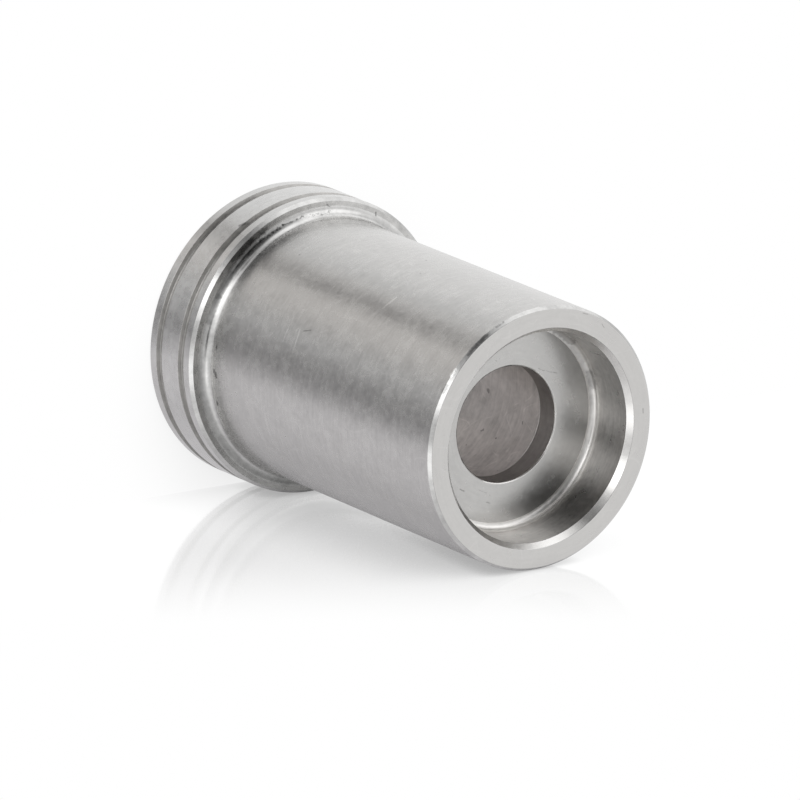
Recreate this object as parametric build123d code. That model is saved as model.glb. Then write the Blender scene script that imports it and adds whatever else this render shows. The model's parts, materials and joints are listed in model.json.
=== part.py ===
"""Locating bushing, turned and ground from one bar.

The bushing stands on the back face of its head. Its axis is Z, and the open, counterbored end is up.
"""
import os
from math import radians, tan

from build123d import *

# Body, in millimetres
body_diameter = 25.0
body_length = 36.0
body_edge_chamfer = 0.34

# Head: three lands with a shallow groove between each two
head_shoulder = 1.75
rear_land = 1.25
middle_land = 2.7
front_land = 1.25
head_groove_width = 0.9
head_groove_depth = 0.38
head_groove_flank_angle = 20.0
head_back_chamfer = 0.3
head_front_chamfer = 0.36

# Fillet in the corner of head and body
shoulder_fillet_radius = 1.0

# Counterbore at the open end
rim_wall = 2.5
counterbore_depth = 5.5
counterbore_floor_radius = 0.5
mouth_chamfer = 0.58

# Angle between the axis and each chamfer but the one at the head's back
chamfer_angle = 38.0

# Web with its clearance bore
web_thickness = 2.5
web_bore_diameter = 11.0
web_bore_edge = 0.15

# Recess behind the web, open at the head's back
recess_wall = 3.5
recess_corner_radius = 0.6
recess_mouth_chamfer = 0.5

# Radii and heights that follow from the sizes above
body_radius = body_diameter / 2
head_radius = body_radius + head_shoulder
counterbore_radius = body_radius - rim_wall
web_bore_radius = web_bore_diameter / 2
recess_radius = body_radius - recess_wall
head_length = rear_land + head_groove_width + middle_land + head_groove_width + front_land
overall_length = head_length + body_length
web_top = overall_length - counterbore_depth
web_underside = web_top - web_thickness
groove_starts = (rear_land, rear_land + head_groove_width + middle_land)
chamfer_slope = tan(radians(chamfer_angle))


def corner(section, radius, height):
    """The corner of the half section nearest to this radius and height."""
    return section.vertices().sort_by_distance((radius, height, 0))[0]


def outer_half_section():
    """Solid half section: head, fillet and body, with X as radius and Y as height."""
    section = make_face(Polyline(
        (0, 0),
        (head_radius - head_back_chamfer, 0),
        (head_radius, head_back_chamfer),
        (head_radius, head_length - head_front_chamfer),
        (head_radius - head_front_chamfer * chamfer_slope, head_length),
        (body_radius, head_length),
        (body_radius, overall_length - body_edge_chamfer),
        (body_radius - body_edge_chamfer * chamfer_slope, overall_length),
        (0, overall_length),
        close=True,
    ))
    return fillet(corner(section, body_radius, head_length), shoulder_fillet_radius)


def groove_half_section(groove_start):
    """One groove of the head, with sloped flanks."""
    floor_radius = head_radius - head_groove_depth
    outside = head_radius + head_groove_depth
    flank_inset = head_groove_depth * tan(radians(head_groove_flank_angle))
    return make_face(Polyline(
        (floor_radius, groove_start + flank_inset),
        (outside, groove_start - flank_inset),
        (outside, groove_start + head_groove_width + flank_inset),
        (floor_radius, groove_start + head_groove_width - flank_inset),
        close=True,
    ))


def counterbore_half_section():
    """Space of the counterbore, from the web up through the chamfered mouth."""
    section = make_face(Polyline(
        (0, web_top),
        (counterbore_radius, web_top),
        (counterbore_radius, overall_length - mouth_chamfer),
        (counterbore_radius + mouth_chamfer * chamfer_slope, overall_length),
        (0, overall_length),
        close=True,
    ))
    return fillet(corner(section, counterbore_radius, web_top), counterbore_floor_radius)


def web_bore_half_section():
    """Space of the bore through the web, with both of its edges broken."""
    return make_face(Polyline(
        (0, web_underside),
        (web_bore_radius + web_bore_edge, web_underside),
        (web_bore_radius, web_underside + web_bore_edge),
        (web_bore_radius, web_top - web_bore_edge),
        (web_bore_radius + web_bore_edge, web_top),
        (0, web_top),
        close=True,
    ))


def recess_half_section():
    """Space of the recess, from the head's back face up to the web."""
    section = make_face(Polyline(
        (0, 0),
        (recess_radius + recess_mouth_chamfer, 0),
        (recess_radius, recess_mouth_chamfer),
        (recess_radius, web_underside),
        (0, web_underside),
        close=True,
    ))
    return fillet(corner(section, recess_radius, web_underside), recess_corner_radius)


def turned_bushing():
    """The whole bushing, revolved from its half section."""
    section = outer_half_section()
    for groove_start in groove_starts:
        section -= groove_half_section(groove_start)
    section -= counterbore_half_section()
    section -= web_bore_half_section()
    section -= recess_half_section()
    return revolve(Plane.XZ * section, Axis.Z)


bushing = turned_bushing()
os.makedirs("parts", exist_ok=True)
export_step(bushing, "parts/bushing.step")
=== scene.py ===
# %% [markdown]
# # A turned and ground locating bushing
#
# The object is one piece of steel: a plain cylinder that locates in a reamed hole, a grooved head, and a
# counterbored open end. Every surface was cut on a lathe or ground between centres, so the lesson is about
# round metal: one profile turned into a mesh, and the traces that each tool leaves in the light.
#
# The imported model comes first. It is the fixed frame: its box, radii and heights set all that follows.

# %% Load the frame
import json
from math import acos, atan2, cos, degrees, pi, radians, sin, tan

import bpy
from mathutils import Matrix, Vector


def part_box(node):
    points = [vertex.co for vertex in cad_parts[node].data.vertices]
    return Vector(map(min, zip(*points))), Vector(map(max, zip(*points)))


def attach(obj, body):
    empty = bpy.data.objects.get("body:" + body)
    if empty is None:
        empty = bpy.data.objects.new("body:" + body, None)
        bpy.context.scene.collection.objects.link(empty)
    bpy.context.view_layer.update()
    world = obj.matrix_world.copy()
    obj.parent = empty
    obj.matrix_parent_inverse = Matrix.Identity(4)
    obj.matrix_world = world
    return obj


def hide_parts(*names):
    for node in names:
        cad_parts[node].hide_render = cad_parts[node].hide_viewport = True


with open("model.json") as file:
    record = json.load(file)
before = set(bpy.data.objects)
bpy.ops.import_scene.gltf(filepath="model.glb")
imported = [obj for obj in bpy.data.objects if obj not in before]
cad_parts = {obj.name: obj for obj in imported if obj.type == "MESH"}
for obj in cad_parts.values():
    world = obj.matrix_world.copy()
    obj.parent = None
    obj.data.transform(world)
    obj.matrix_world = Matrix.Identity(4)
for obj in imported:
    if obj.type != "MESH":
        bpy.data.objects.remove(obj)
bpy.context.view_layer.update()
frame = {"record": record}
MM = 0.001

# %% [markdown]
# ## Sizes from the record
#
# The places where other parts meet the bushing are stated with it: the body's radius, each bore's radius,
# and the heights of the faces. Reading them from there keeps the mesh on the solid when a size changes. The
# small cuts that nothing mates with, such as grooves and broken edges, are written here in millimetres.

# %% Read the fitting sizes
mounts = {mount["name"]: mount for mount in frame["record"]["mounts"]}


def stated_radius(name):
    """Radius in millimetres of a round fit."""
    return mounts[name]["dims"]["r_mm"]


def stated_height(name):
    """Height in millimetres of a face above the head's back."""
    return mounts[name]["pos_m"][2] / MM


body_radius = stated_radius("locating_body")
counterbore_radius = stated_radius("counterbore")
bore_radius = stated_radius("web_bore")
recess_radius = stated_radius("rear_recess")
shoulder_height = stated_height("head_shoulder")
web_top = stated_height("web_seat")
web_underside = 2 * stated_height("web_bore") - web_top
end_height = stated_height("open_end")
head_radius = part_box("bushing")[1].x / MM
print("radii in mm:", head_radius, body_radius, counterbore_radius, recess_radius, bore_radius)

# %% Name the small cuts
groove_width = 0.9
groove_depth = 0.38
groove_flank_angle = 20
rear_land = 1.25
middle_land = 2.7
groove_heights = (rear_land, rear_land + groove_width + middle_land)
head_back_chamfer = 0.3
head_front_chamfer = 0.36
shoulder_fillet = 1.0
body_chamfer = 0.34
mouth_chamfer_depth = 0.58
chamfer_slope = tan(radians(38))
counterbore_fillet = 0.7
bore_edge = 0.15
recess_fillet = 0.6
recess_chamfer = 0.5
broken_edge = 0.04
groove_floor_round = 0.1
print("grooves start at", groove_heights, "mm")

# %% [markdown]
# ## The table and the camera
#
# The picture shows the bushing lying on a white table, but a part in a library stands on its base. Nothing is
# turned here: the camera is rolled instead. A lying bushing rests on two rims, the head's and the open end's,
# so its axis dips by the angle between them. From that table the camera stands to the side of the axis and
# looks down a little, through a long lens that keeps both ends nearly the same size. The camera's angles and
# distance, and where the centre of the open end lies in the picture, come from a fit to the rings that the
# part shows there.

# %% Find the table that the lying bushing would rest on
rim_rise = head_radius - body_radius
rim_distance = (end_height - body_chamfer) - (shoulder_height - head_front_chamfer)
axis_dip = atan2(rim_rise, rim_distance)
table_azimuth = radians(-45)
sideways = Vector((cos(table_azimuth), sin(table_azimuth), 0))
axis = Vector((0, 0, 1))
table_up = (cos(axis_dip) * sideways - sin(axis_dip) * axis).normalized()
table_along = (axis - axis.dot(table_up) * table_up).normalized()
table_side = table_along.cross(table_up)
print("the axis dips by", round(degrees(axis_dip), 2), "degrees")

# %% Place the camera
PICTURE = 800
end_centre_in_picture = (541.43, 438.92)
camera_rise = radians(13.6)
camera_swing = radians(35.13)
camera_distance = 1.0948
lens_length = 540
sensor_width = 36

camera_back = (cos(camera_rise) * (cos(camera_swing) * table_along + sin(camera_swing) * table_side)
               + sin(camera_rise) * table_up)
camera_right = table_up.cross(camera_back).normalized()
camera_top = camera_back.cross(camera_right)
metres_per_pixel = camera_distance * sensor_width / lens_length / PICTURE
end_centre = Vector((0, 0, end_height * MM))
offset_right = (end_centre_in_picture[0] - PICTURE / 2) * metres_per_pixel
offset_down = (end_centre_in_picture[1] - PICTURE / 2) * metres_per_pixel

camera_data = bpy.data.cameras.new("camera")
camera_data.lens = lens_length
camera_data.sensor_width = sensor_width
camera_data.clip_start = 0.01
camera_data.clip_end = 20
camera = bpy.data.objects.new("camera", camera_data)
bpy.context.scene.collection.objects.link(camera)
camera.matrix_world = Matrix((camera_right, camera_top, camera_back)).transposed().to_4x4()
camera.location = (end_centre + camera_back * camera_distance
                   - camera_right * offset_right + camera_top * offset_down)
bpy.context.scene.camera = camera
bpy.context.scene.view_settings.view_transform = "Standard"
print("line of sight to axis:", round(degrees(acos(camera_back.dot(axis))), 2), "degrees")

# %% [markdown]
# ## A helper for shader nodes
#
# Every finish below is a small graph of nodes. One helper adds a node, sets its options and fills its
# inputs with either a value or another node's output, so that a graph reads from top to bottom like a
# recipe. A second one makes the named sockets of a group that several finishes share.

# %% Define the node helpers
def add(tree, kind, settings=None, **inputs):
    """Adds a node. Inputs are given by name, with _ for a space, and hold a value or a socket."""
    node = tree.nodes.new("ShaderNode" + kind)
    for name, value in (settings or {}).items():
        setattr(node, name, value)
    for name, value in inputs.items():
        wanted = name.replace("_", " ")
        if wanted.startswith("in "):
            socket = node.inputs[int(wanted[3:])]
        else:
            socket = node.inputs[wanted]
        if isinstance(value, bpy.types.NodeSocket):
            tree.links.new(value, socket)
        else:
            socket.default_value = value
    return node


def math(tree, operation, a, b=0.0, clamp=False):
    """The output of one Math node."""
    return add(tree, "Math", {"operation": operation, "use_clamp": clamp}, in_0=a, in_1=b).outputs[0]


def ramp_value(tree, value, low, high, at_low=0.0, at_high=1.0):
    """A smooth step: at_low up to low, at_high from high on."""
    node = add(tree, "MapRange", {"interpolation_type": "SMOOTHSTEP"}, Value=value)
    for index, number in ((1, low), (2, high), (3, at_low), (4, at_high)):
        node.inputs[index].default_value = number
    return node.outputs["Result"]


def new_group(name, inputs, outputs):
    """An empty node group with float inputs and the outputs that are named."""
    group = bpy.data.node_groups.new(name, "ShaderNodeTree")
    for label, default in inputs:
        socket = group.interface.new_socket(label, in_out="INPUT", socket_type="NodeSocketFloat")
        socket.default_value = default
    for label, kind in outputs:
        group.interface.new_socket(label, in_out="OUTPUT", socket_type=kind)
    start = group.nodes.new("NodeGroupInput")
    end = group.nodes.new("NodeGroupOutput")
    return group, start, end


# %% [markdown]
# ## The light
#
# Bare steel is a mirror with a grain: it has no colour of its own and shows the room. So the room is what is
# modelled: a world of thirty soft patches of light and dark, each with a soft rim, above a pale table top.
# Lamps would do the same, but a patch of world gives clean long reflections and needs no samples. Directions
# are given as a photographer would, from the camera: degrees to the right, and degrees above the table.
#
# The room can't be seen, so it was worked out from the steel. A fit to the brightness along the steel in the
# picture gave the two plain levels and the first twelve patches, which were then rounded. Eight of those were
# never changed. The other four were moved, and eighteen more were added.

# %% Define directions in the room
straight_away = -(camera_back - camera_back.dot(table_up) * table_up).normalized()


def toward(right, up):
    """Direction that many degrees to the right of straight away, and up from the table."""
    level = cos(radians(right)) * straight_away + sin(radians(right)) * camera_right
    return cos(radians(up)) * level + sin(radians(up)) * table_up


# Each patch: degrees right, degrees up, radius of its even middle, radius of its rim, strength
sky_patches = [
    (-154, 24, 10, 16, 0.9),
    (-145, 31, 7, 15, 0.5),
    (-124, 31, 12, 25, 0.8),
    (-140, 56, 5, 15, -0.35),
    (0, 20, 9, 40, 0.36),
    (-45, 40, 1, 8, -0.42),
    (-58, 35, 1, 7, 0.14),
    (-70, 21, 2, 10, -0.2),
    (-120, 74, 9, 24, -0.22),
    (-178, 14, 5, 13, 0.15),
    (107, 4, 7, 14, -0.15),
    (98, 35, 11, 22, 0.5),
    (145, 10, 10, 26, -0.4),
    (80, 73, 7, 34, 0.63),
    (107, 22, 10, 35, 0.3),
    (151, 45, 17, 35, -0.66),
    (46, 34, 5, 21, 0.52),
]
table_patches = [
    (-148, -21, 6, 13, 0.6),
    (0, -14, 2, 10, 0.27),
    (-144, -28, 9, 35, 0.15),
    (140, -60, 10, 40, 0.12),
    (176, -22, 8, 20, 0.12),
    (-35, -36, 5, 28, -0.04),
    (-78, -54, 8, 28, -0.22),
    (109, -9, 8, 32, 0.28),
    (150, -47, 17, 48, -0.41),
]
horizon_patches = [
    (-78, 3, 4, 18, -0.46),
    (1, -8, 5, 14, 0.16),
    (126, 8, 7, 16, -0.22),
    (-170, -2, 8, 12, -0.75),
]
plain_sky = 0.70
plain_table = 0.76

# %% [markdown]
# ## Building the world
#
# A patch is a smooth step over the angle from its middle, and that angle is measured as a dot product. The
# patches are added up for the sky and for the table, and the two meet at the horizon. Two faint tints stand
# for coloured things in the room: a cool one low on the left, and a warm one high on the left. The camera
# itself sees plain white.

# %% Define patches, mixes and tints
COOL_TINT = (1.004, 0.985, 1.008, 1)
COOL_PATCH = (-45, -38, 35, 65)
WARM_TINT = (1.02, 0.99, 0.965, 1)
WARM_PATCH = (-55, 36, 4, 24)
WHITE = (1, 1, 1, 1)


def facing(tree, vector, target):
    """The dot product with a fixed vector: how closely a direction points that way."""
    node = add(tree, "VectorMath", {"operation": "DOT_PRODUCT"}, in_0=vector, in_1=tuple(target))
    return node.outputs["Value"]


def patch_at(tree, vector, right, up, middle, rim, strength=1.0):
    """A round patch in the room: strength in its even middle, and nothing beyond its rim."""
    nearness = facing(tree, vector, toward(right, up))
    return ramp_value(tree, nearness, cos(radians(rim)), cos(radians(middle)), 0.0, strength)


def mix_values(tree, share, first, second):
    """One of two numbers, or a mix of them."""
    return add(tree, "Mix", {"data_type": "FLOAT"}, in_0=share, in_2=first, in_3=second).outputs[0]


def mix_colours(tree, share, first, second):
    """One of two colours, or a mix of them."""
    return add(tree, "Mix", {"data_type": "RGBA"}, in_0=share, in_6=first, in_7=second).outputs[2]


# %% Build the world
HORIZON = (0.02, -0.08)
world = bpy.data.worlds.new("studio")
bpy.context.scene.world = world
world.use_nodes = True
room = world.node_tree
room.nodes.clear()
direction = add(room, "TexCoord").outputs["Generated"]


def with_patches(start, patches):
    """Brightness that starts from a number or socket, with each patch added to it."""
    total = start
    for patch in patches:
        total = math(room, "ADD", patch_at(room, direction, *patch), total)
    return total


is_table = ramp_value(room, facing(room, direction, table_up), *HORIZON)
sky = with_patches(plain_sky, sky_patches)
table_light = with_patches(plain_table, table_patches)
room_light = mix_values(room, is_table, sky, table_light)
room_light = math(room, "MAXIMUM", with_patches(room_light, horizon_patches), 0.0)
seen = add(room, "LightPath").outputs["Is Camera Ray"]
brightness = mix_values(room, seen, room_light, 1.0)
coolness = patch_at(room, direction, *COOL_PATCH)
warmth = patch_at(room, direction, *WARM_PATCH)
tint = mix_colours(room, warmth, mix_colours(room, coolness, WHITE, COOL_TINT), WARM_TINT)
background = add(room, "Background", Color=tint, Strength=brightness)
add(room, "OutputWorld", Surface=background.outputs[0])
print("patches of light:", len(sky_patches) + len(table_patches) + len(horizon_patches))

# %% [markdown]
# ## The floor and the table
#
# The bushing stands on a plain floor, and its side leans on the table of the picture. Both are stage, not
# part of the object. White paper in a studio is lit until it is just white, so each plane shines with a
# strength of one and is darkened only where the bushing keeps the light from it. Ambient occlusion
# measures that: over some millimetres for the soft shadow, leaning toward the light so that the shadow
# falls the other way, and over a much shorter reach for the dark line where steel touches the table.
#
# The table is polished as well. It shows a faint mirror image that fades toward the camera, and the steel
# in turn mirrors the table's shadow. That last part is a tone which only mirrored rays meet.

# %% Make the stage planes
PLANE_HALF_SIZE = 3.0


def stage_plane(name, centre, normal):
    """A flat square at a place, facing a direction. Only the camera sees it."""
    first = normal.orthogonal().normalized()
    second = normal.cross(first)
    mesh = bpy.data.meshes.new(name)
    corners = [centre + PLANE_HALF_SIZE * (a * first + b * second)
               for a, b in ((-1, -1), (1, -1), (1, 1), (-1, 1))]
    mesh.from_pydata(corners, [], [(0, 1, 2, 3)])
    plane = bpy.data.objects.new(name, mesh)
    bpy.context.scene.collection.objects.link(plane)
    plane.visible_glossy = False
    plane.visible_diffuse = False
    plane.visible_shadow = False
    plane.visible_transmission = False
    return plane


print("stage planes reach", PLANE_HALF_SIZE, "m each way")


# %% Measure how open a place is
def openness(tree, reach, samples=8, **inputs):
    """From 0 in a closed corner to 1 where nothing stands within reach."""
    return add(tree, "AmbientOcclusion", {"samples": samples}, Distance=reach, **inputs).outputs["AO"]


def soft_shadow(tree, reach, lit_from, darkest):
    """The plane's brightness: darkest where the object hides all the light from that side."""
    lean = add(tree, "CombineXYZ", X=lit_from.x, Y=lit_from.y, Z=lit_from.z).outputs[0]
    open_to_light = openness(tree, reach, samples=16, Normal=lean)
    return ramp_value(tree, open_to_light, low=0.0, high=1.0, at_low=darkest, at_high=1.0)


# %% Make the parts of a polished table
CONTACT_REACH = 0.0016
MIRRORED_REACH = 0.011
MIRROR_ROUGHNESS = 0.08
MIRROR_SHARE = 0.27
MIRROR_FADE = (0.022, 0.05)
head_rim = shoulder_height - head_front_chamfer
head_contact = (axis * head_rim - sideways * head_radius) * MM
print("the head touches the table at", [round(c / MM, 2) for c in head_contact], "mm")


def contact_line(tree):
    """A tone that is darker where steel touches the table."""
    return ramp_value(tree, openness(tree, CONTACT_REACH), low=0.1, high=0.8, at_low=0.75, at_high=1.0)


def with_mirror_image(tree, glow):
    """Adds a mirror image that fades from where the head touches the table toward the camera."""
    here = add(tree, "TexCoord").outputs["Object"]
    nearer = math(tree, "SUBTRACT", facing(tree, here, -straight_away), head_contact.dot(-straight_away))
    share = ramp_value(tree, nearer, *MIRROR_FADE, at_low=MIRROR_SHARE, at_high=0.0)
    gloss = add(tree, "BsdfGlossy", Color=WHITE, Roughness=MIRROR_ROUGHNESS).outputs[0]
    return add(tree, "MixShader", in_0=share, in_1=glow, in_2=gloss).outputs[0]


def with_tone_for_steel(tree, surface):
    """Lets mirrored rays pass, dimmed near the object, so that the steel shows the table's shadow."""
    near = openness(tree, MIRRORED_REACH)
    close = ramp_value(tree, near, low=0.0, high=0.28, at_low=0.2, at_high=1.0)
    wide = ramp_value(tree, near, low=0.3, high=0.85, at_low=0.78, at_high=1.0)
    tone = math(tree, "MULTIPLY", close, wide)
    shadow_tone = add(tree, "CombineColor", Red=tone, Green=tone, Blue=tone).outputs[0]
    shadow = add(tree, "BsdfTransparent", Color=shadow_tone).outputs[0]
    seen = add(tree, "LightPath").outputs["Is Camera Ray"]
    return add(tree, "MixShader", in_0=seen, in_1=shadow, in_2=surface).outputs[0]


# %% Make the white of both planes
def white_with_shadow(name, reach, lit_from, darkest, polished=False):
    """White that darkens near the object. lit_from is where the light comes from."""
    material = bpy.data.materials.new(name)
    material.use_nodes = True
    tree = material.node_tree
    tree.nodes.clear()
    shade = soft_shadow(tree, reach, lit_from, darkest)
    if polished:
        shade = math(tree, "MULTIPLY", shade, contact_line(tree))
    surface = add(tree, "Emission", Color=WHITE, Strength=shade).outputs[0]
    if polished:
        surface = with_mirror_image(tree, surface)
    clear = add(tree, "BsdfTransparent").outputs[0]
    behind = add(tree, "NewGeometry").outputs["Backfacing"]
    surface = add(tree, "MixShader", in_0=behind, in_1=surface, in_2=clear).outputs[0]
    if polished:
        surface = with_tone_for_steel(tree, surface)
    add(tree, "OutputMaterial", Surface=surface)
    return material


# %% Lay the floor
GAP = 0.00002
FLOOR_LIGHT_AZIMUTH, FLOOR_LIGHT_LEAN = radians(-26), radians(82)
floor_light_side = Vector((cos(FLOOR_LIGHT_AZIMUTH), sin(FLOOR_LIGHT_AZIMUTH), 0))
light_on_floor = axis * cos(FLOOR_LIGHT_LEAN) + floor_light_side * sin(FLOOR_LIGHT_LEAN)
floor = stage_plane("floor", Vector((0, 0, -GAP)), Vector((0, 0, 1)))
floor.data.materials.append(
    white_with_shadow("floor_white", reach=0.008, lit_from=light_on_floor, darkest=0.65))
print("floor lies", GAP / MM, "mm under the head's back")

# %% Lay the table
TABLE_LIGHT_LEAN = radians(60)
table_drop = max(
    head_radius * cos(axis_dip) + head_rim * sin(axis_dip),
    body_radius * cos(axis_dip) + (end_height - body_chamfer) * sin(axis_dip),
) * MM + GAP
table = stage_plane("table", -table_up * table_drop, table_up)
table_light_side = (camera_right - straight_away).normalized()
light_on_table = table_up * cos(TABLE_LIGHT_LEAN) + table_light_side * sin(TABLE_LIGHT_LEAN)
table.data.materials.append(white_with_shadow(
    "table_white", reach=0.009, lit_from=light_on_table.normalized(), darkest=0.55, polished=True))
# Mirrored rays have to meet this plane, or the steel would not show its shadow
table.visible_glossy = True
print("table lies", round(table_drop / MM, 3), "mm from the axis")

# %% [markdown]
# ## The profile
#
# A turned part is its half section spun about the axis. The section is written as corners, one after the
# other round the metal, each with the radius that the tool left in it and the finish of the run that
# follows. A helper then swaps every corner for an arc. Even a sharp edge gets a few hundredths of a
# millimetre, because that is what catches the light on a real one.

# %% List the corners
def groove_corners(height):
    """The four corners of one groove in the head."""
    floor_radius = head_radius - groove_depth
    inset = groove_depth * tan(radians(groove_flank_angle))
    return [
        (head_radius, height, broken_edge, "groove"),
        (floor_radius, height + inset, groove_floor_round, "groove"),
        (floor_radius, height + groove_width - inset, groove_floor_round, "groove"),
        (head_radius, height + groove_width, broken_edge, "land"),
    ]


corners = [
    (recess_radius + recess_chamfer, 0, broken_edge, "faced"),
    (head_radius - head_back_chamfer, 0, broken_edge, "chamfer"),
    (head_radius, head_back_chamfer, broken_edge, "land"),
    *groove_corners(groove_heights[0]),
    *groove_corners(groove_heights[1]),
    (head_radius, shoulder_height - head_front_chamfer, broken_edge, "chamfer"),
    (head_radius - head_front_chamfer * chamfer_slope, shoulder_height, broken_edge, "shoulder"),
    (body_radius, shoulder_height, shoulder_fillet, "ground"),
    (body_radius, end_height - body_chamfer, broken_edge, "chamfer"),
    (body_radius - body_chamfer * chamfer_slope, end_height, broken_edge, "faced"),
    (counterbore_radius + mouth_chamfer_depth * chamfer_slope, end_height, broken_edge, "mouth"),
    (counterbore_radius, end_height - mouth_chamfer_depth, broken_edge, "bored"),
    (counterbore_radius, web_top, counterbore_fillet, "turned_floor"),
    (bore_radius, web_top, bore_edge, "drilled"),
    (bore_radius, web_underside, bore_edge, "faced"),
    (recess_radius, web_underside, recess_fillet, "recess"),
    (recess_radius, recess_chamfer, broken_edge, "chamfer"),
]
print("corners:", len(corners))

# %% Round them off
ARC_STEPS = 4
FILLET_STEPS = 12


def finish_along_arc(radius, is_fillet, neighbours):
    """Name of the finish on a rounded corner."""
    if is_fillet:
        return "fillet" if radius > counterbore_radius else "corner"
    if "groove" in neighbours:
        return "groove"
    return "lip" if radius == bore_radius else "edge"


def rounded(corner_list):
    """Points of the section as (place, outward normal, finish of the run that follows)."""
    points = []
    for index, (radius, height, rounding, finish) in enumerate(corner_list):
        here = Vector((radius, height))
        came = (here - Vector(corner_list[index - 1][:2])).normalized()
        goes = (Vector(corner_list[(index + 1) % len(corner_list)][:2]) - here).normalized()
        turn = atan2(came.cross(goes), came.dot(goes))
        bulge = rounding if turn > 0 else -rounding
        outward = Vector((came.y, -came.x))
        arc_start = here - came * rounding * tan(abs(turn) / 2)
        centre = arc_start - outward * bulge
        is_fillet = rounding > bore_edge
        steps = FILLET_STEPS if is_fillet else ARC_STEPS
        along_arc = finish_along_arc(radius, is_fillet, (finish, corner_list[index - 1][3]))
        for step in range(steps + 1):
            normal = Matrix.Rotation(turn * step / steps, 2) @ outward
            points.append((centre + normal * bulge, normal, along_arc if step < steps else finish))
    return points


section = rounded(corners)
print("points of the section:", len(section))

# %% [markdown]
# ## Spinning the profile
#
# A Screw modifier would spin the section too, but then Blender has to guess the normals, and on a mirror
# finish the guess shows as smudges beside each edge. Here the section knows its own normals, so they are
# turned along with the points and given to the mesh. Each face also gets the finish of its run. Rounded
# corners have finishes of their own: the fillet outside, the corner inside the counterbore, the lip of the
# bore, and plain edges.

# %% Spin it
SPOKES = 480
FINISHES = ("faced", "land", "groove", "shoulder", "fillet", "corner", "ground", "chamfer", "mouth",
            "edge", "lip", "bored", "turned_floor", "drilled", "recess")


def spin(name, points):
    """A closed mesh turned about Z from a section in millimetres."""
    spokes = [(cos(2 * pi * k / SPOKES), sin(2 * pi * k / SPOKES)) for k in range(SPOKES)]
    vertices = [(p.x * c * MM, p.x * s * MM, p.y * MM) for p, _, _ in points for c, s in spokes]
    normals = [(n.x * c, n.x * s, n.y) for _, n, _ in points for c, s in spokes]
    faces = []
    finish_of_face = []
    for ring, (_, _, finish) in enumerate(points):
        low = ring * SPOKES
        high = (ring + 1) % len(points) * SPOKES
        for k in range(SPOKES):
            after = (k + 1) % SPOKES
            faces.append((low + k, low + after, high + after, high + k))
            finish_of_face.append(FINISHES.index(finish))
    mesh = bpy.data.meshes.new(name)
    mesh.from_pydata(vertices, [], faces)
    mesh.polygons.foreach_set("material_index", finish_of_face)
    mesh.shade_smooth()
    mesh.normals_split_custom_set_from_vertices(normals)
    piece = bpy.data.objects.new(name, mesh)
    bpy.context.scene.collection.objects.link(piece)
    return piece


bushing = spin("turned_bushing", section)
print("faces:", len(bushing.data.polygons))

# %% [markdown]
# ## Where a tool mark lies
#
# Lathe and grinder leave marks that run round the axis, so the finishes need the part's own bearings: which
# way round, how far out and how high, in millimetres. They come from the object's coordinates. The way round
# is kept as a direction and not as an angle, for an angle jumps where the circle closes.

# %% Make the group that finds the place
place, start, end = new_group("lathe place", [], [
    ("Point", "NodeSocketVector"), ("Way Round", "NodeSocketVector"),
    ("Radius", "NodeSocketFloat"), ("Height", "NodeSocketFloat"),
])
here = add(place, "TexCoord").outputs["Object"]
point = add(place, "VectorMath", {"operation": "SCALE"}, in_0=here, Scale=1 / MM).outputs[0]
parts_of_point = add(place, "SeparateXYZ", Vector=point)
flat = add(place, "CombineXYZ", X=parts_of_point.outputs[0], Y=parts_of_point.outputs[1]).outputs[0]
place.links.new(point, end.inputs["Point"])
place.links.new(add(place, "VectorMath", {"operation": "NORMALIZE"}, in_0=flat).outputs[0],
                end.inputs["Way Round"])
place.links.new(add(place, "VectorMath", {"operation": "LENGTH"}, in_0=flat).outputs["Value"],
                end.inputs["Radius"])
place.links.new(parts_of_point.outputs[2], end.inputs["Height"])
print("group:", place.name)

# %% [markdown]
# ## The traces of the tools
#
# Four groups make what is on the steel. Turned lines are a noise that changes fast across the marks and
# slowly along them. Mottle is the cloudy wear of handling and of a cleaning cloth. Hairlines are fine
# scratches in every direction: the thin level lines of two smooth noises. Specks are pits and grains of
# dirt, which sit in a few of many random cells.

# %% Make the turned lines
def use_group(tree, group, **inputs):
    """Adds a group to a material or to another group, with its inputs given by name."""
    return add(tree, "Group", {"node_tree": group}, **inputs)


turned_lines, start, end = new_group(
    "turned lines", [("Spacing", 0.2), ("Length", 3.0)], [("Value", "NodeSocketFloat")])
bearings = use_group(turned_lines, place)
slow = math(turned_lines, "DIVIDE", bearings.outputs["Radius"], start.outputs["Length"])
around = add(turned_lines, "VectorMath", {"operation": "SCALE"},
             in_0=bearings.outputs["Way Round"], Scale=slow).outputs[0]
up = math(turned_lines, "DIVIDE", bearings.outputs["Height"], start.outputs["Spacing"])
out = math(turned_lines, "DIVIDE", bearings.outputs["Radius"], start.outputs["Spacing"])
across = add(turned_lines, "CombineXYZ", Z=math(turned_lines, "SUBTRACT", up, out)).outputs[0]
spread = add(turned_lines, "VectorMath", in_0=around, in_1=across).outputs[0]
lines = add(turned_lines, "TexNoise", Vector=spread, Scale=1.0, Detail=1.0)
turned_lines.links.new(lines.outputs[0], end.inputs["Value"])
print("group:", turned_lines.name)

# %% Make the mottle
mottle, start, end = new_group("mottle", [("Size", 1.0)], [("Value", "NodeSocketFloat")])
bearings = use_group(mottle, place)
finer = math(mottle, "DIVIDE", 1.0, start.outputs["Size"])
clouds = add(mottle, "TexNoise", Vector=bearings.outputs["Point"], Scale=finer, Detail=1.5, Roughness=0.6)
mottle.links.new(clouds.outputs[0], end.inputs["Value"])
print("group:", mottle.name)

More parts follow.
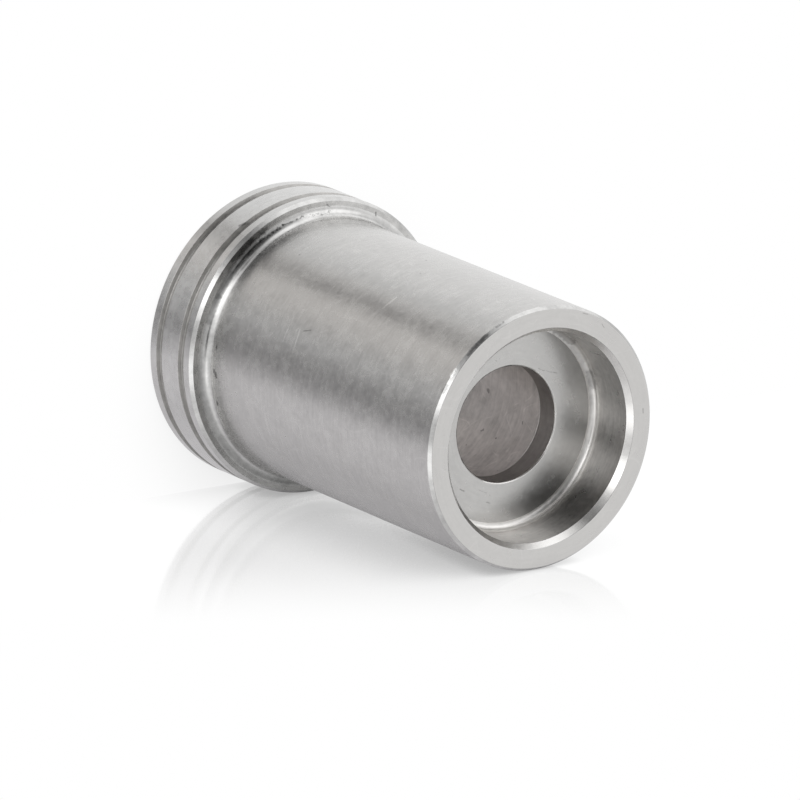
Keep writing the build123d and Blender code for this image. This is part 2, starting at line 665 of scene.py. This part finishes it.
# %% Make the hairlines
STRETCH = (0.35, 1, 1)
hairlines, start, end = new_group(
    "hairlines", [("Size", 3.0), ("Width", 0.01)], [("Mask", "NodeSocketFloat")])
bearings = use_group(hairlines, place)
finer = math(hairlines, "DIVIDE", 1.0, start.outputs["Size"])
hair_mask = 0.0
for turn_x, turn_z, shift in ((0.5, 0.9, 3.0), (-0.6, -0.8, 11.0)):
    turned = add(hairlines, "VectorRotate", {"rotation_type": "EULER_XYZ"},
                 Vector=bearings.outputs["Point"], Rotation=(turn_x, 0.3, turn_z)).outputs[0]
    long = add(hairlines, "VectorMath", {"operation": "MULTIPLY"}, in_0=turned, in_1=STRETCH).outputs[0]
    moved = add(hairlines, "VectorMath", in_0=long, in_1=(shift, shift, shift)).outputs[0]
    level = add(hairlines, "TexNoise", Vector=moved, Scale=finer, Detail=0.0).outputs[0]
    off_line = math(hairlines, "ABSOLUTE", math(hairlines, "SUBTRACT", level, 0.5))
    widths_off = math(hairlines, "DIVIDE", off_line, start.outputs["Width"])
    line = math(hairlines, "SUBTRACT", 1.0, widths_off, clamp=True)
    hair_mask = math(hairlines, "MAXIMUM", line, hair_mask)
broken = add(hairlines, "TexNoise", Vector=bearings.outputs["Point"], Scale=0.9, Detail=0.0).outputs[0]
hair_mask = math(hairlines, "MULTIPLY", hair_mask, ramp_value(hairlines, broken, 0.45, 0.6))
hairlines.links.new(hair_mask, end.inputs["Mask"])
print("group:", hairlines.name)

# %% Make the specks
specks, start, end = new_group(
    "specks", [("Spacing", 1.0), ("Share", 0.1), ("Radius", 0.1)], [("Mask", "NodeSocketFloat")])
bearings = use_group(specks, place)
finer = math(specks, "DIVIDE", 1.0, start.outputs["Spacing"])
cells = add(specks, "TexVoronoi", Vector=bearings.outputs["Point"], Scale=finer)
chance = add(specks, "SeparateColor", Color=cells.outputs["Color"]).outputs[0]
chosen = math(specks, "LESS_THAN", chance, start.outputs["Share"])
near_centre = math(specks, "DIVIDE", cells.outputs["Distance"],
                   math(specks, "MULTIPLY", start.outputs["Radius"], finer))
dot = math(specks, "MULTIPLY", chosen, ramp_value(specks, near_centre, 0.6, 1.0, 1.0, 0.0))
specks.links.new(dot, end.inputs["Mask"])
print("group:", specks.name)

# %% [markdown]
# ## Marks in their places
#
# Some marks have one place: a knock, a burr, a dark band beside the fillet that is partly torn steel and
# partly painted shade. Each is a short line between two points on the surface, given by degrees round, radius
# and height. The mask is how near a point is to that line, frayed a little by noise, because no real scratch
# has a clean edge.

# %% Make the group for one mark
mark, start, end = new_group("mark", [("Width", 0.1), ("Fray", 0.3)], [("Mask", "NodeSocketFloat")])
for label in ("From", "To"):
    mark.interface.new_socket(label, in_out="INPUT", socket_type="NodeSocketVector")


def vectors(operation, output, **inputs):
    """One Vector Math node of the mark's group."""
    return add(mark, "VectorMath", {"operation": operation}, **inputs).outputs[output]


spot = use_group(mark, place).outputs["Point"]
torn = add(mark, "TexNoise", Vector=spot, Scale=3.0, Detail=1.0).outputs["Color"]
torn = vectors("SUBTRACT", 0, in_0=torn, in_1=(0.5, 0.5, 0.5))
torn = vectors("SCALE", 0, in_0=torn, Scale=start.outputs["Fray"])
spot = vectors("ADD", 0, in_0=spot, in_1=torn)
along = vectors("SUBTRACT", 0, in_0=start.outputs["To"], in_1=start.outputs["From"])
off = vectors("SUBTRACT", 0, in_0=spot, in_1=start.outputs["From"])
reach = vectors("DOT_PRODUCT", "Value", in_0=off, in_1=along)
whole = vectors("DOT_PRODUCT", "Value", in_0=along, in_1=along)
share = math(mark, "DIVIDE", reach, whole, clamp=True)
nearest = vectors("SCALE", 0, in_0=along, Scale=share)
gap = vectors("DISTANCE", "Value", in_0=off, in_1=nearest)
widths_off = math(mark, "DIVIDE", gap, start.outputs["Width"])
mark.links.new(ramp_value(mark, widths_off, 0.4, 1.0, 1.0, 0.0), end.inputs["Mask"])
print("group:", mark.name)


def on_part(degrees_round, radius, height):
    """A point of the part in millimetres."""
    return (radius * cos(radians(degrees_round)), radius * sin(radians(degrees_round)), height)


# %% [markdown]
# ## Finishes
#
# The same steel shows many ways. The body was ground, the lands and end were faced, the chamfers were cut
# with a sharp nose and stayed bright, and the bores are rougher. The grooves are darker, most of all on their
# floors: painted shade, with some grime. What differs is the colour, the grain and how much of each trace
# there is. So one recipe makes them all, from a few numbers each.

# %% List the looks
STEEL = (0.62, 0.617, 0.61)
# Each look: colour, roughness, grain, and how much of the lines, the mottle, the hairlines and the specks
looks = {
    "faced": ((0.625, 0.616, 0.604), 0.3, 0.3, 0.08, 0.12, 0.05, 0.3),
    "land": (STEEL, 0.28, 0.5, 0.12, 0.25, 0.05, 0.3),
    # The grooves' colour is darker than the steel: painted shade, with some grime
    "groove": ((0.57, 0.56, 0.545), 0.38, 0.3, 0.20, 0.40, 0.0, 0.6),
    # The shoulder is darker than the steel: painted shade beside the body
    "shoulder": ((0.57, 0.565, 0.555), 0.28, 0.3, 0.15, 0.50, 0.0, 0.6),
    # The fillet and the counterbore's corner are brighter than the steel: painted highlight
    "fillet": ((0.66, 0.656, 0.648), 0.24, 0.3, 0.15, 0.40, 0.0, 0.6),
    "corner": ((0.88, 0.865, 0.845), 0.34, 0.0, 0.10, 0.30, 0.0, 0.0),
    "ground": ((0.572, 0.566, 0.556), 0.26, 0.6, 0.18, 0.24, 0.08, 0.4),
    "chamfer": (STEEL, 0.2, 0.2, 0.10, 0.40, 0.0, 0.3),
    # The mouth is brighter than the steel: painted highlight
    "mouth": ((0.80, 0.79, 0.775), 0.24, 0.2, 0.10, 0.20, 0.0, 0.3),
    "edge": (STEEL, 0.22, 0.0, 0.0, 0.30, 0.0, 0.0),
    # The lip is brighter than the steel: painted highlight
    "lip": ((0.82, 0.81, 0.79), 0.26, 0.0, 0.0, 0.30, 0.0, 0.0),
    "bored": ((0.67, 0.655, 0.635), 0.3, 0.4, 0.30, 0.40, 0.0, 0.6),
    "turned_floor": ((0.53, 0.524, 0.515), 0.25, 0.6, 0.12, 0.20, 0.0, 0.3),
    "drilled": ((0.36, 0.345, 0.335), 0.36, 0.3, 0.35, 0.40, 0.10, 0.8),
    "recess": ((0.58, 0.555, 0.54), 0.36, 0.3, 0.35, 0.50, 0.25, 0.8),
}
print("looks:", len(looks))

# %% [markdown]
# The marks are listed surface by surface. A strength below zero is darker than the steel round it, such as
# grime, a pit or painted shade, and one above zero is a bright scratch. A long dark arc is laid as a row of
# short marks.
#
# The marks were read off the picture. For about half of them a separate script then followed the camera's
# line of sight to the surface, and the places that it gave are written here rounded.

# %% List the marks
NEAR_FILLET = ("ground", "fillet", "shoulder")
OUTER_EDGE = ("chamfer", "edge", "ground")
# Each mark: finishes it lies on, two places (degrees round, radius, height), width, fray, strength
marks = [
    # On the body
    (("ground",), (15.4, 12.5, 20.3), (13.9, 12.5, 21.2), 0.09, 0.1, -0.4),
    (("ground",), (22.7, 12.5, 19.9), (15.3, 12.5, 19.7), 0.1, 0.2, 0.3),
    (("ground",), (22.7, 12.5, 18.0), (16.8, 12.5, 18.0), 0.1, 0.2, 0.25),
    (("ground",), (-7.0, 12.5, 28.3), (-14.5, 12.5, 28.5), 0.1, 0.2, 0.3),
    (("ground",), (-4.0, 12.5, 15.6), (-6.5, 12.5, 21.2), 0.7, 0.8, -0.08),
    (("ground",), (-7.4, 12.5, 25.3), (-5.8, 12.5, 31.3), 0.7, 0.8, -0.08),
    # Beside the fillet: small pits, and wider dark arcs that are partly torn steel and partly painted shade
    (NEAR_FILLET, (35.3, 12.5, 8.4), (37.5, 12.5, 8.4), 0.12, 0.3, -0.5),
    (NEAR_FILLET, (46.4, 12.5, 8.3), (49.0, 12.5, 8.6), 0.2, 0.5, -0.6),
    (NEAR_FILLET, (61.2, 12.5, 8.2), (62.6, 12.5, 8.2), 0.2, 0.3, -0.6),
    (NEAR_FILLET, (37.0, 12.5, 8.5), (60.0, 12.5, 8.3), 0.12, 1.0, -0.2),
    (NEAR_FILLET, (86.0, 13.2, 7.1), (88.0, 13.2, 7.1), 0.12, 0.3, -0.4),
    (NEAR_FILLET, (-72.6, 13.7, 7.0), (-73.2, 13.4, 7.0), 0.1, 0.2, -0.5),
    (NEAR_FILLET, (-48.0, 13.6, 7.0), (-49.6, 13.4, 7.0), 0.1, 0.2, -0.4),
    (NEAR_FILLET, (0.0, 13.8, 7.0), (-10.0, 13.7, 7.0), 0.45, 0.9, -0.5),
    (NEAR_FILLET, (-10.0, 13.7, 7.0), (-18.0, 13.6, 7.0), 0.45, 0.9, -0.45),
    (NEAR_FILLET, (-3.0, 13.0, 7.1), (-13.4, 13.0, 7.1), 0.16, 0.6, -0.6),
    (NEAR_FILLET, (-13.4, 13.0, 7.1), (-25.7, 13.0, 7.1), 0.14, 0.5, -0.65),
    (NEAR_FILLET, (-25.7, 13.0, 7.1), (-36.0, 13.0, 7.1), 0.10, 0.5, -0.6),
    (NEAR_FILLET, (-3.0, 13.35, 7.0), (-16.0, 13.35, 7.0), 0.35, 0.8, -0.35),
    (NEAR_FILLET, (5.0, 13.1, 7.1), (16.0, 13.1, 7.1), 0.4, 0.4, -0.3),
    (NEAR_FILLET, (16.0, 13.1, 7.1), (27.0, 13.1, 7.1), 0.4, 0.4, -0.28),
    (NEAR_FILLET, (27.0, 13.1, 7.1), (36.0, 13.1, 7.1), 0.35, 0.4, -0.15),
    (NEAR_FILLET, (-36.0, 12.9, 7.2), (-50.0, 12.9, 7.2), 0.12, 1.4, -0.45),
    # On the head
    (("land", "groove", "edge"), (69.4, 14.2, 5.4), (70.4, 14.2, 5.5), 0.16, 0.1, -0.6),
    # Darker stretches of both grooves: painted shade, with some grime
    *((("groove",), (turn, 13.9, height), (turn - 14, 13.9, height), 0.6, 0.3, -0.28)
      for height in (1.75, 5.35) for turn in (-2.0, -16.0)),
    (("land", "groove", "edge"), (-13.0, 14.25, 4.7), (-15.0, 14.25, 4.9), 0.22, 0.3, -0.5),
    # On the open end
    (OUTER_EDGE, (-2.0, 12.4, 42.8), (-14.0, 12.4, 42.8), 0.22, 0.5, -0.45),
    (OUTER_EDGE, (-20.0, 12.4, 42.7), (-24.0, 12.4, 42.7), 0.15, 0.4, -0.35),
    (OUTER_EDGE, (6.0, 12.45, 42.7), (9.0, 12.45, 42.6), 0.2, 0.6, 0.5),
    (OUTER_EDGE, (13.0, 12.4, 42.7), (17.0, 12.45, 42.6), 0.2, 0.6, -0.3),
    (("faced",), (-65.4, 12.1, 43.0), (-68.2, 12.15, 43.0), 0.05, 0.1, -0.35),
    (("faced",), (-77.7, 11.9, 43.0), (-79.8, 11.7, 43.0), 0.05, 0.1, -0.35),
    (("faced",), (-128.8, 11.5, 43.0), (-130.7, 11.5, 43.0), 0.1, 0.1, -0.3),
    (("chamfer", "edge", "bored"), (167.5, 10.2, 42.7), (173.5, 10.0, 42.7), 0.2, 0.3, -0.6),
    # In the counterbore
    # Darker stretches of the inner corner: painted shade, with some grime
    (("corner",), (-77.0, 9.75, 37.7), (-90.0, 9.8, 37.75), 0.5, 0.5, -0.45),
    (("corner",), (-92.0, 9.8, 37.75), (-104.0, 9.8, 37.75), 0.45, 0.5, -0.15),
    (("corner",), (-113.0, 9.8, 37.8), (-121.0, 9.8, 37.8), 0.5, 0.5, -0.35),
    (("turned_floor",), (-80.0, 5.9, 37.5), (-98.4, 6.9, 37.5), 0.06, 0.3, -0.35),
    (("turned_floor",), (-32.0, 6.3, 37.5), (-36.4, 6.5, 37.5), 0.06, 0.5, -0.4),
    (("turned_floor",), (92.4, 7.4, 37.5), (96.4, 7.3, 37.5), 0.10, 0.2, -0.35),
    (("turned_floor",), (119.1, 7.4, 37.5), (123.0, 7.5, 37.5), 0.07, 0.2, -0.3),
    (("turned_floor",), (108.0, 6.5, 37.5), (121.2, 6.7, 37.5), 0.05, 0.2, -0.2),
    # On the lip of the bore, and in the recess
    (("recess",), (-145.8, 9.0, 22.2), (-146.6, 9.0, 22.4), 0.2, 0.4, -0.5),
    (("recess",), (190.0, 9.0, 23.5), (191.0, 9.0, 23.7), 0.15, 0.3, -0.5),
    (("recess",), (-156.0, 9.0, 28.5), (-157.0, 9.0, 28.6), 0.15, 0.3, -0.5),
    # A half ring of the lip is darker: painted shade, standing in for a dark reflection there
    *((("lip",), (turn, 5.55, 37.45), (turn + 30, 5.55, 37.45), 0.6, 0.2, -0.5)
      for turn in range(-75, 105, 30)),
]
print("marks:", len(marks))

# %% [markdown]
# ## One recipe for every finish
#
# A tone starts at one, is raised or lowered by each trace in turn, and then multiplies the colour. The same
# clouds also change the roughness and the height, so that a dull place is dull in the light as well. The
# shader stays in the material itself, with its grain laid along the tool marks.

# %% Spread the traces over a steel
LINES = {"Spacing": 0.22, "Length": 2.5}
CLOUD_SIZES = (1.7, 0.55)
HAIRS = {"Size": 3.0, "Width": 0.012}
DIRT = {"Spacing": 1.5, "Share": 0.06, "Radius": 0.12}
GROOVE_GRIME_AND_SHADE_TONE = 0.74
GROOVE_GRIME_AND_SHADE_REACH = (0.01, 0.1)


def centred(tree, group, **inputs):
    """A group's value, moved so that it swings round zero."""
    return math(tree, "SUBTRACT", use_group(tree, group, **inputs).outputs[0], 0.5)


def weighted(tree, operation, tone, trace, weight):
    """The tone with a share of one trace added to it or taken from it."""
    return math(tree, operation, tone, math(tree, "MULTIPLY", trace, weight))


def groove_floor_grime_and_shade(tree):
    """A tone that darkens the floors of the grooves: painted shade, with some grime."""
    radius = use_group(tree, place).outputs["Radius"]
    floor_radius = head_radius - groove_depth
    return ramp_value(tree, radius, floor_radius + GROOVE_GRIME_AND_SHADE_REACH[0], floor_radius + GROOVE_GRIME_AND_SHADE_REACH[1],
                      GROOVE_GRIME_AND_SHADE_TONE, 1.0)


# %% Lay the marks on a steel
def with_marks(tree, name, tone):
    """The tone with every mark that lies on this finish."""
    for finishes, first, second, width, fray, strength in marks:
        if name in finishes:
            mask = use_group(tree, mark, From=on_part(*first), To=on_part(*second),
                             Width=width, Fray=fray).outputs[0]
            tone = math(tree, "MULTIPLY", tone, weighted(tree, "ADD", 1.0, mask, strength))
    return tone


# %% Make one steel
BUMP_DEPTH = 0.0015
LINE_RELIEF = 0.2
CLOUD_RELIEF = 4.5
CLOUD_ROUGHNESS = 0.1


def steel(name, colour, roughness, grain, lined, clouded, haired, specked):
    """Bare steel. grain stretches reflections across the tool marks, which run round the axis."""
    material = bpy.data.materials.new("steel_" + name)
    material.use_nodes = True
    tree = material.node_tree
    tree.nodes.clear()
    traces = centred(tree, turned_lines, **LINES)
    large, small = (centred(tree, mottle, Size=size) for size in CLOUD_SIZES)
    clouds = math(tree, "ADD", large, small)
    tone = weighted(tree, "ADD", 1.0, traces, lined)
    tone = weighted(tree, "ADD", tone, clouds, clouded)
    if haired:
        tone = weighted(tree, "ADD", tone, use_group(tree, hairlines, **HAIRS).outputs[0], haired)
    if specked:
        tone = weighted(tree, "SUBTRACT", tone, use_group(tree, specks, **DIRT).outputs[0], specked)
    # The floors of the grooves are darker: painted shade, with some grime
    if name == "groove":
        tone = math(tree, "MULTIPLY", tone, groove_floor_grime_and_shade(tree))
    tone = with_marks(tree, name, tone)
    tinted = add(tree, "VectorMath", {"operation": "SCALE"}, in_0=colour, Scale=tone).outputs[0]
    rough = weighted(tree, "ADD", roughness, clouds, CLOUD_ROUGHNESS)
    cloud_height = math(tree, "MULTIPLY", clouds, CLOUD_RELIEF * clouded)
    height = math(tree, "ADD", math(tree, "MULTIPLY", traces, LINE_RELIEF), cloud_height)
    relief = add(tree, "Bump", Height=height, Distance=BUMP_DEPTH * MM, Strength=1.0).outputs[0]
    shader = add(tree, "BsdfPrincipled", Base_Color=tinted, Metallic=1.0, Roughness=rough, Normal=relief)
    if grain:
        shader.inputs["Anisotropic"].default_value = grain
        shader.inputs["Anisotropic Rotation"].default_value = 0.25
        marks_run = add(tree, "Tangent", {"direction_type": "RADIAL", "axis": "Z"})
        tree.links.new(marks_run.outputs[0], shader.inputs["Tangent"])
    add(tree, "OutputMaterial", Surface=shader.outputs[0])
    return material


for finish in FINISHES:
    bushing.data.materials.append(steel(finish, *looks[finish]))
print("finishes:", len(bushing.data.materials))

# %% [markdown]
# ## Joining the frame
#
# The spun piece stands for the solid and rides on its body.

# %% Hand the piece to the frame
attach(bushing, "root")
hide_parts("bushing")
